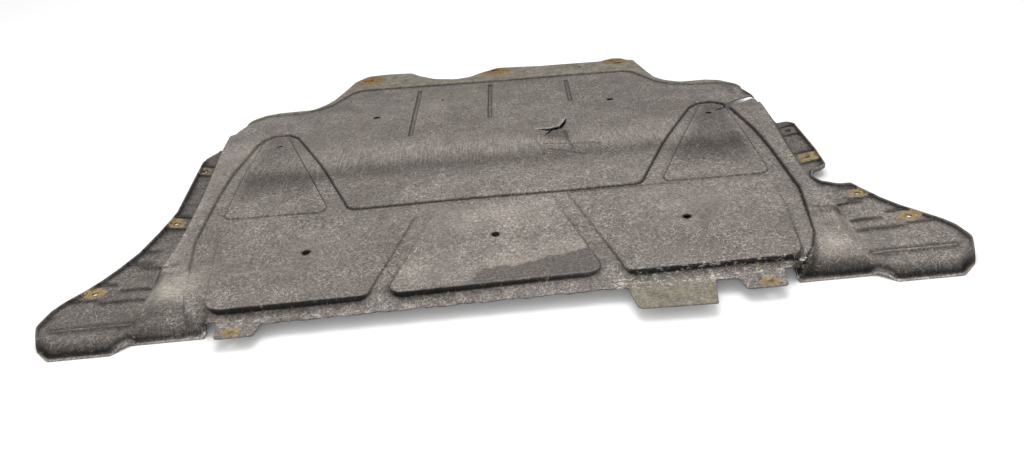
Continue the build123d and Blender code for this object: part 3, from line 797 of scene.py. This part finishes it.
# painted shade on the groove walls, darker on the side left of each groove's centre
mid_x = np.where(x < -90, -174.0, np.where(x < 90, -7.0, 173.0))
tone_with_painted_light *= 1 - np.where(x < mid_x, 0.6, 0.42) * line(d_gr + 0.6, 1.2)
# painted shade on the walls that face the front
tone_with_painted_light *= 1 - 0.92 * facing * (1 - 0.98 * on_low) * np.where(ax > 600, np.where(y > 70, 0.7, 0.9), 1.0)
# painted shade on the side-facing walls
tone_with_painted_light *= 1 - 0.28 * steep
# painted shade as a thin dark line at the foot of the low floor's wall, fainter at the left front
left_front = step01(430, 470, -x) * (1 - step01(170, 300, y))
tone_with_painted_light *= 1 - (0.9 - 0.35 * step01(430, 470, -x) - 0.4 * left_front) * line(d_low - foot - 0.6, 1.5 + 1.0 * step01(440, 480, x))
# painted shade along the panel fronts and edges and along the triangle and flange edges
for q in (p_r, p_m, p_l):
    tone_with_painted_light *= 1 - 0.5 * line(q - 2.6, 2.6) * (1 - step01(50, 70, y))
tone_with_painted_light *= 1 - 0.5 * line(p_r - 0.8, 2.2) * (1 - step01(330, 350, x)) * step01(42, 52, y) - 0.3 * line(p_r - 0.8, 2.2) * step01(430, 470, x)
tone_with_painted_light *= 1 - 0.5 * line(p_l - 0.8, 2.2) * step01(-350, -330, x) * step01(42, 52, y) * (1 - step01(255, 275, y)) - 0.12 * line(p_l - 0.8, 2.2) * (1 - step01(-470, -430, x))
tone_with_painted_light *= 1 - 0.28 * line(p_m - 0.8, 2.0) * step01(80, 90, x) * step01(42, 52, y) - 0.4 * line(p_m - 0.8, 2.4) * (1 - step01(-90, -80, x)) * (1 - step01(80, 150, y))
tone_with_painted_light *= 1 - 0.45 * line(d_tri - 0.6, 1.8)
tone_with_painted_light *= 1 - 0.42 * line(d_flange - 2.2, 2.2)
# painted shade as a thin dark line above the foot lip of the front corners and wings, and a painted highlight on the
# lip itself
zone = (ax > 458) & (y < 60)
d_fr = np.full(len(P), 99.0)
d_fr[zone] = -sdf(outline_pts, P[zone], 2000, 1500)
fade = np.where(ax > 610, 1 - step01(14, 30, y), 1 - step01(42, 58, y)) * step01(458, 468, ax)
tone_with_painted_light *= 1 - (0.5 * line(d_fr - 6.5, 3.2) + 0.26 * line(d_fr - 10.0, 11.0)) * fade
tone_with_painted_light *= 1 + 0.7 * (1 - step01(2.6, 4.6, d_fr)) * fade
# painted shade at the rear ends of the ramps and at the torn right rear corner, then the ramps' outer edges made
# lighter by a painted highlight and scraped
for pts, deep, wide in (([(-580, 165), (-545, 174)], 0.55, 3.6), ([(530, 167), (551, 162), (575, 161)], 0.55, 3.6),
                        ([(516, 767), (526, 742), (526, 706)], 0.5, 3.4), ([(553, 728), (556, 692)], 0.8, 7.0)):
    tone_with_painted_light *= 1 - deep * line(near_line(P, pts), wide)
for pts in ([(-570, 158), (-578, 123), (-578, 86), (-576, 55)], [(581, 164), (584, 128), (584, 93), (573, 52)], [(-515, 95), (-490, 49), (-468, 24)]):
    edge = line(near_line(P, pts), 5.0)
    tone_with_painted_light *= 1 + 0.35 * edge
    scrape = np.maximum(scrape, 0.75 * edge)
# painted shade in the creases and in the dent before the tear
for pts in ([(146, 560), (150, 518), (153, 495), (157, 462)], [(103, 495), (150, 487), (211, 476)], [(112, 466), (153, 447), (175, 433)]):
    tone_with_painted_light *= 1 - 0.5 * line(near_line(P, pts), 3.4)
tone_with_painted_light *= 1 - 0.45 * blob(130, 545, 32, 20)
tone_with_painted_light *= 1 - 0.7 * ring
# painted shade along the ribs and beads
d_rib = np.minimum.reduce([sdf(q, P) for q in S["ribs"]])
tone_with_painted_light *= 1 - 0.62 * line(np.maximum(d_rib, 0), 1.7)
d_bead = np.minimum.reduce([sdf(q, P) for q in S["beads"]])
tone_with_painted_light *= 1 - 0.55 * line(d_bead, 1.8)
# painted shade just inside the raised outer lips of the wings
d_out = np.full(len(P), 99.0)
side_zone = (ax > 574) & (y > 20)
d_out[side_zone] = -sdf(outline_pts, P[side_zone], 2000, 1500)
tone_with_painted_light *= 1 - 0.62 * line(d_out - 4.2, 1.9) * step01(30, 70, y) * np.where(x > 0, 1 - step01(570, 588, y), 1 - step01(610, 632, y))
# painted shade: dark walls of the holes and tear, a darker cut edge along the front middle, dark rings round the rear
# holes and drains
n_edge = len(EDGE)
for k in (n1 + n2, n1 + n2 + nb):
    tone_with_painted_light[k + n_edge:k + nb] = 0.16
mid_front = np.abs(E0[:n_edge, 0]) < 458
tone_with_painted_light[n1 + n2:n1 + n2 + n_edge] *= np.where(mid_front, 0.7, 0.95)
tone_with_painted_light[n1 + n2 + nb:n1 + n2 + nb + n_edge] *= np.where(mid_front, 0.25, 0.7)
for cx, cy in BACK_HOLES + DRAINS:
    tone_with_painted_light *= 1 - 0.8 * (1 - step01(7.0, 9.5, np.hypot(x - cx, y - cy)))
tone_with_painted_light = tone_with_painted_light / 2.0
# painted highlight on the edge of the lifted flap, also fed into the crest wear
flap_lip_highlight = (sdf(FLAP, P) < 0.6) * line(near_line(P, [(88, 578), (103, 569), (117, 563), (140, 573), (149, 600), (156, 634)]), 8.0)
crest = np.maximum(crest, flap_lip_highlight)
tone_with_painted_light *= 1 + 0.95 * flap_lip_highlight
scrape = scrape * (1 - 0.85 * steep) * (1 - 0.65 * facing)
attrs = {"rust": rust, "stain": stain, "dust": dust, "scrape": scrape, "clean": clean, "olive": olive, "ridge": ridge,
         "tone_with_painted_light": tone_with_painted_light, "crest": crest, "under": under, "steep": steep}
for name, val in attrs.items():
    a = mesh.attributes.new("w_" + name, "FLOAT", "POINT")
    a.data.foreach_set("value", np.clip(val, 0, 1).astype(np.float32))


# ------------------------------------------------------------------ material
mat = bpy.data.materials.new("worn_plastic")
mat.use_nodes = True
nt = mat.node_tree
for n in list(nt.nodes):
    nt.nodes.remove(n)
N, LK = nt.nodes, nt.links


def node(kind, **kw):
    n = N.new(kind)
    for k_, v in kw.items():
        setattr(n, k_, v)
    return n


def put(sock, v):
    if isinstance(v, (int, float, tuple)):
        sock.default_value = v
    else:
        LK.new(v, sock)


def math_n(op, a, b=None, c=None, clamp=False):
    n = node("ShaderNodeMath", operation=op, use_clamp=clamp)
    put(n.inputs[0], a)
    if b is not None:
        put(n.inputs[1], b)
    if c is not None:
        put(n.inputs[2], c)
    return n.outputs[0]


def ramp(v, lo, hi, a=0.0, b=1.0):
    n = node("ShaderNodeMapRange", interpolation_type="SMOOTHSTEP")
    put(n.inputs[0], v)
    for i_, w in enumerate((lo, hi, a, b)):
        n.inputs[1 + i_].default_value = w
    return n.outputs[0]


def mix(fac, a, b):
    n = node("ShaderNodeMix", data_type="RGBA")
    put(n.inputs["Factor"], fac)
    put(n.inputs[6], a)
    put(n.inputs[7], b)
    return n.outputs[2]


def attr(name):
    return node("ShaderNodeAttribute", attribute_name="w_" + name).outputs["Fac"]


co = node("ShaderNodeTexCoord").outputs["Object"]


def mapped(scale, rot=(0, 0, 0), loc=(0, 0, 0)):
    n = node("ShaderNodeMapping")
    LK.new(co, n.inputs[0])
    n.inputs["Scale"].default_value = scale
    n.inputs["Rotation"].default_value = rot
    n.inputs["Location"].default_value = loc
    return n.outputs[0]


def noise(vec, scale, detail=4.0, rough=0.55, dist=0.0):
    n = node("ShaderNodeTexNoise")
    LK.new(vec, n.inputs["Vector"])
    n.inputs["Scale"].default_value = scale
    n.inputs["Detail"].default_value = detail
    n.inputs["Roughness"].default_value = rough
    n.inputs["Distortion"].default_value = dist
    return n.outputs["Fac"]


def scratches(scale, length, width, loc=(0, 0, 0), curve=0.0):
    """One short straight scratch per cell, each at its own angle."""
    vec = mapped((1, 1, 0), loc=loc)
    v = node("ShaderNodeTexVoronoi", feature="F1", voronoi_dimensions="2D")
    LK.new(vec, v.inputs["Vector"])
    v.inputs["Scale"].default_value = scale
    v.inputs["Randomness"].default_value = 1.0
    sub = node("ShaderNodeVectorMath", operation="SUBTRACT")
    LK.new(vec, sub.inputs[0])
    LK.new(v.outputs["Position"], sub.inputs[1])
    sep = node("ShaderNodeSeparateColor")
    LK.new(v.outputs["Color"], sep.inputs[0])
    rot = node("ShaderNodeVectorRotate", rotation_type="Z_AXIS")
    LK.new(sub.outputs[0], rot.inputs["Vector"])
    LK.new(math_n("MULTIPLY", sep.outputs[0], 6.283), rot.inputs["Angle"])
    xyz = node("ShaderNodeSeparateXYZ")
    LK.new(rot.outputs[0], xyz.inputs[0])
    along = math_n("ABSOLUTE", xyz.outputs[0])
    bend = math_n("MULTIPLY", math_n("MULTIPLY", xyz.outputs[0], xyz.outputs[0]), curve)
    across = math_n("ABSOLUTE", math_n("ADD", xyz.outputs[1], bend))
    a = ramp(along, length * 0.45, length * 0.5, 1.0, 0.0)
    b = ramp(across, width * 0.25, width * 0.6, 1.0, 0.0)
    keep = ramp(sep.outputs[1], 0.25, 0.95)
    return math_n("MULTIPLY", math_n("MULTIPLY", a, b), keep)


big = noise(mapped((1, 1, 1)), 5.0, 5.0, 0.6, 0.4)
mid = noise(mapped((1, 1, 1), loc=(3, 1, 0)), 26.0, 6.0, 0.62)
fine_n = noise(mapped((1, 1, 1), loc=(7, 2, 0)), 190.0, 4.0, 0.7)
grain = noise(mapped((1, 1, 1), loc=(1, 9, 0)), 430.0, 3.0, 0.7)
streak_y = noise(mapped((1, 0.035, 1), loc=(4, 4, 0)), 430.0, 3.0, 0.6)
streak_x = noise(mapped((0.05, 1, 1), loc=(8, 5, 0)), 330.0, 3.0, 0.6)

base = mix(ramp(big, 0.3, 0.7), (0.158, 0.139, 0.127, 1), (0.208, 0.184, 0.168, 1))
base = mix(math_n("MULTIPLY", ramp(mid, 0.4, 0.7), 0.5), base, (0.26, 0.232, 0.212, 1))
# dust held in the grain
speck = ramp(fine_n, 0.52, 0.66)
worn = ramp(noise(mapped((1, 1, 1), loc=(4, 7, 0)), 8.0, 4.0, 0.6, 0.6), 0.38, 0.62, 0.12, 1.0)
base = mix(math_n("MULTIPLY", math_n("MULTIPLY", speck, ramp(mid, 0.35, 0.7, 0.4, 0.95)), worn), base, (0.40, 0.36, 0.325, 1))
base = mix(math_n("MULTIPLY", ramp(fine_n, 0.48, 0.32), 0.5), base, (0.085, 0.074, 0.067, 1))
base = mix(math_n("MULTIPLY", ramp(grain, 0.5, 0.3), 0.6), base, (0.07, 0.061, 0.055, 1))
base = mix(math_n("MULTIPLY", math_n("MULTIPLY", ramp(grain, 0.54, 0.66), ramp(mid, 0.35, 0.65, 0.25, 0.8)), worn), base, (0.46, 0.415, 0.375, 1))
# short random scratches in four sizes
s1 = scratches(78.0, 0.010, 0.0012, (0.3, 0.1, 0), 0.0)
s2 = scratches(130.0, 0.0065, 0.0012, (1.7, 0.6, 0), 0.0)
s3 = scratches(17.0, 0.055, 0.0012, (2.9, 1.3, 0), 2.0)
s4 = scratches(50.0, 0.014, 0.0012, (5.1, 2.2, 0), 8.0)
scr = math_n("MAXIMUM", math_n("MAXIMUM", s1, math_n("MULTIPLY", s2, 0.8)), math_n("MAXIMUM", math_n("MULTIPLY", s3, 0.6), s4))
patchy = ramp(noise(mapped((1, 1, 1), loc=(2, 6, 0)), 11.0, 3.0, 0.6), 0.38, 0.62, 0.25, 1.0)
scr = math_n("MULTIPLY", scr, patchy)
base = mix(math_n("MULTIPLY", scr, 0.68), base, (0.62, 0.58, 0.54, 1))
# scraped ridge, streaks along the travel
rg = math_n("MULTIPLY", attr("ridge"), ramp(streak_y, 0.42, 0.68))
base = mix(math_n("MULTIPLY", rg, 0.7), base, (0.40, 0.36, 0.32, 1))
# darker, cleaner areas
base = mix(math_n("MULTIPLY", attr("clean"), ramp(mid, 0.3, 0.6, 0.45, 0.7)), base, (0.105, 0.094, 0.087, 1))
# dusty patches
dst = math_n("MULTIPLY", attr("dust"), ramp(mid, 0.3, 0.65, 0.45, 1.0))
base = mix(math_n("MULTIPLY", dst, 0.75), base, (0.44, 0.40, 0.345, 1))
# bare olive tabs and flange
base = mix(math_n("MULTIPLY", attr("olive"), ramp(mid, 0.35, 0.62, 0.3, 0.85)), base, (0.235, 0.214, 0.155, 1))
smear = noise(mapped((1, 1, 1), loc=(6, 1, 0)), 48.0, 5.0, 0.7, 0.3)
base = mix(math_n("MULTIPLY", attr("olive"), ramp(smear, 0.5, 0.64, 0.0, 0.6)), base, (0.34, 0.315, 0.25, 1))
base = mix(math_n("MULTIPLY", attr("olive"), ramp(smear, 0.47, 0.36, 0.0, 0.6)), base, (0.115, 0.105, 0.08, 1))
base = mix(math_n("MULTIPLY", math_n("MULTIPLY", attr("olive"), scr), 0.5), base, (0.5, 0.47, 0.4, 1))
# worn crests, with the painted highlight on the lifted flap's edge
base = mix(math_n("MULTIPLY", attr("crest"), ramp(mid, 0.4, 0.62, 0.1, 0.6)), base, (0.44, 0.41, 0.375, 1))
# the steep side walls are less worn
base = mix(math_n("MULTIPLY", attr("steep"), 0.65), base, (0.2, 0.178, 0.163, 1))
# tone of each area with its painted shade in the hollows, on the walls and round the holes, and its painted highlights
sc_t = node("ShaderNodeVectorMath", operation="SCALE")
LK.new(base, sc_t.inputs[0])
mottle = math_n("MULTIPLY", ramp(fine_n, 0.32, 0.68, 0.85, 1.15), ramp(grain, 0.32, 0.68, 0.82, 1.18))
LK.new(math_n("MULTIPLY", math_n("MULTIPLY", attr("tone_with_painted_light"), 1.66), mottle), sc_t.inputs["Scale"])
base = sc_t.outputs[0]
# white scrapes
sc = math_n("MULTIPLY", attr("scrape"), ramp(noise(mapped((0.45, 1, 1), loc=(6, 3, 0)), 190.0, 5.0, 0.74, 0.5), 0.54, 0.63))
base = mix(math_n("MULTIPLY", sc, 0.8), base, (0.66, 0.62, 0.58, 1))
# rust round the fixings
rn = noise(mapped((1, 1, 1), loc=(9, 9, 0)), 150.0, 5.0, 0.65)
rcol = mix(ramp(rn, 0.35, 0.68), (0.23, 0.14, 0.05, 1), (0.36, 0.28, 0.15, 1))
base = mix(ramp(math_n("ADD", attr("rust"), math_n("MULTIPLY", math_n("SUBTRACT", rn, 0.5), 1.4)), 0.4, 0.8, 0.0, 0.8), base, rcol)
soak = math_n("ADD", math_n("MULTIPLY", attr("stain"), 0.85), math_n("MULTIPLY", math_n("SUBTRACT", noise(mapped((1, 1.4, 1), loc=(5, 8, 0)), 85.0, 5.0, 0.75), 0.5), 3.0))
scol = mix(ramp(soak, 0.45, 0.8), (0.165, 0.13, 0.065, 1), (0.19, 0.1, 0.025, 1))
scol = mix(ramp(soak, 0.8, 1.15), scol, (0.05, 0.026, 0.012, 1))
base = mix(ramp(soak, 0.25, 0.6, 0.0, 0.9), base, scol)
# the car side is cleaner and darker
base = mix(math_n("MULTIPLY", attr("under"), 0.65), base, (0.07, 0.067, 0.065, 1))

bs = node("ShaderNodeBsdfPrincipled")
out = node("ShaderNodeOutputMaterial")
LK.new(bs.outputs[0], out.inputs[0])
LK.new(base, bs.inputs["Base Color"])
rough = math_n("ADD", math_n("MULTIPLY", mid, 0.25), math_n("ADD", math_n("MULTIPLY", scr, 0.1), 0.58), clamp=True)
LK.new(rough, bs.inputs["Roughness"])
bs.inputs["Specular IOR Level"].default_value = 0.07
h = math_n("ADD", math_n("MULTIPLY", grain, 0.35), math_n("ADD", math_n("MULTIPLY", fine_n, 0.5), math_n("MULTIPLY", mid, 0.6)))
h = math_n("SUBTRACT", h, math_n("MULTIPLY", scr, 0.35))
bump = node("ShaderNodeBump")
bump.inputs["Strength"].default_value = 0.35
bump.inputs["Distance"].default_value = 0.0012
LK.new(h, bump.inputs["Height"])
LK.new(bump.outputs[0], bs.inputs["Normal"])
mesh.materials.append(mat)

# ------------------------------------------------------------------ floor, light, camera
fm = bpy.data.meshes.new("ground")
fm.from_pydata([(-9, -9, 0), (9, -9, 0), (9, 12, 0), (-9, 12, 0)], [], [(0, 1, 2, 3)])
ground = bpy.data.objects.new("ground", fm)
bpy.context.scene.collection.objects.link(ground)
gm = bpy.data.materials.new("ground_pale")
gm.use_nodes = True
gb = gm.node_tree.nodes["Principled BSDF"]
gb.inputs["Base Color"].default_value = (0.92, 0.92, 0.92, 1)
gb.inputs["Roughness"].default_value = 0.9
gb.inputs["Specular IOR Level"].default_value = 0.1
fm.materials.append(gm)

world = bpy.data.worlds.new("studio")
world.use_nodes = True
world.node_tree.nodes["Background"].inputs[0].default_value = (1, 1, 1, 1)
world.node_tree.nodes["Background"].inputs[1].default_value = 0.85
bpy.context.scene.world = world
bpy.context.scene.view_settings.view_transform = "Standard"


def area(name, loc, aim, size, power):
    l = bpy.data.lights.new(name, "AREA")
    l.shape = "DISK"
    l.size = size
    l.energy = power
    o = bpy.data.objects.new(name, l)
    o.location = loc
    o.rotation_mode = "QUATERNION"
    o.rotation_quaternion = (Vector(aim) - Vector(loc)).to_track_quat("-Z", "Y")
    bpy.context.scene.collection.objects.link(o)


area("key_light", (0.2, 0.6, 3.1), (0, 0, 0), 2.4, 48.0)
area("front_fill", (0.0, -2.3, 0.65), (0, -0.4, 0.0), 1.1, 22.0)

CAM = (69.644, -1133.731, 814.305)
yaw, pitch, roll = math.radians(-1.79319), math.radians(30.1844), math.radians(-6.44793)
fwd = Vector((math.sin(yaw) * math.cos(pitch), math.cos(yaw) * math.cos(pitch), -math.sin(pitch)))
right = Vector((math.cos(yaw), -math.sin(yaw), 0))
up = right.cross(fwd)
r2 = math.cos(roll) * right + math.sin(roll) * up
u2 = -math.sin(roll) * right + math.cos(roll) * up
cam_data = bpy.data.cameras.new("camera")
cam_data.sensor_fit = "HORIZONTAL"
cam_data.sensor_width = 36.0
cam_data.lens = 900.0 / 1024.0 * 36.0
cam = bpy.data.objects.new("camera", cam_data)
bpy.context.scene.collection.objects.link(cam)
cam.matrix_world = Matrix((
    (r2.x, u2.x, -fwd.x, CAM[0] / 1000), (r2.y, u2.y, -fwd.y, (CAM[1] + Y_SHIFT) / 1000),
    (r2.z, u2.z, -fwd.z, CAM[2] / 1000), (0, 0, 0, 1)))
bpy.context.scene.camera = cam
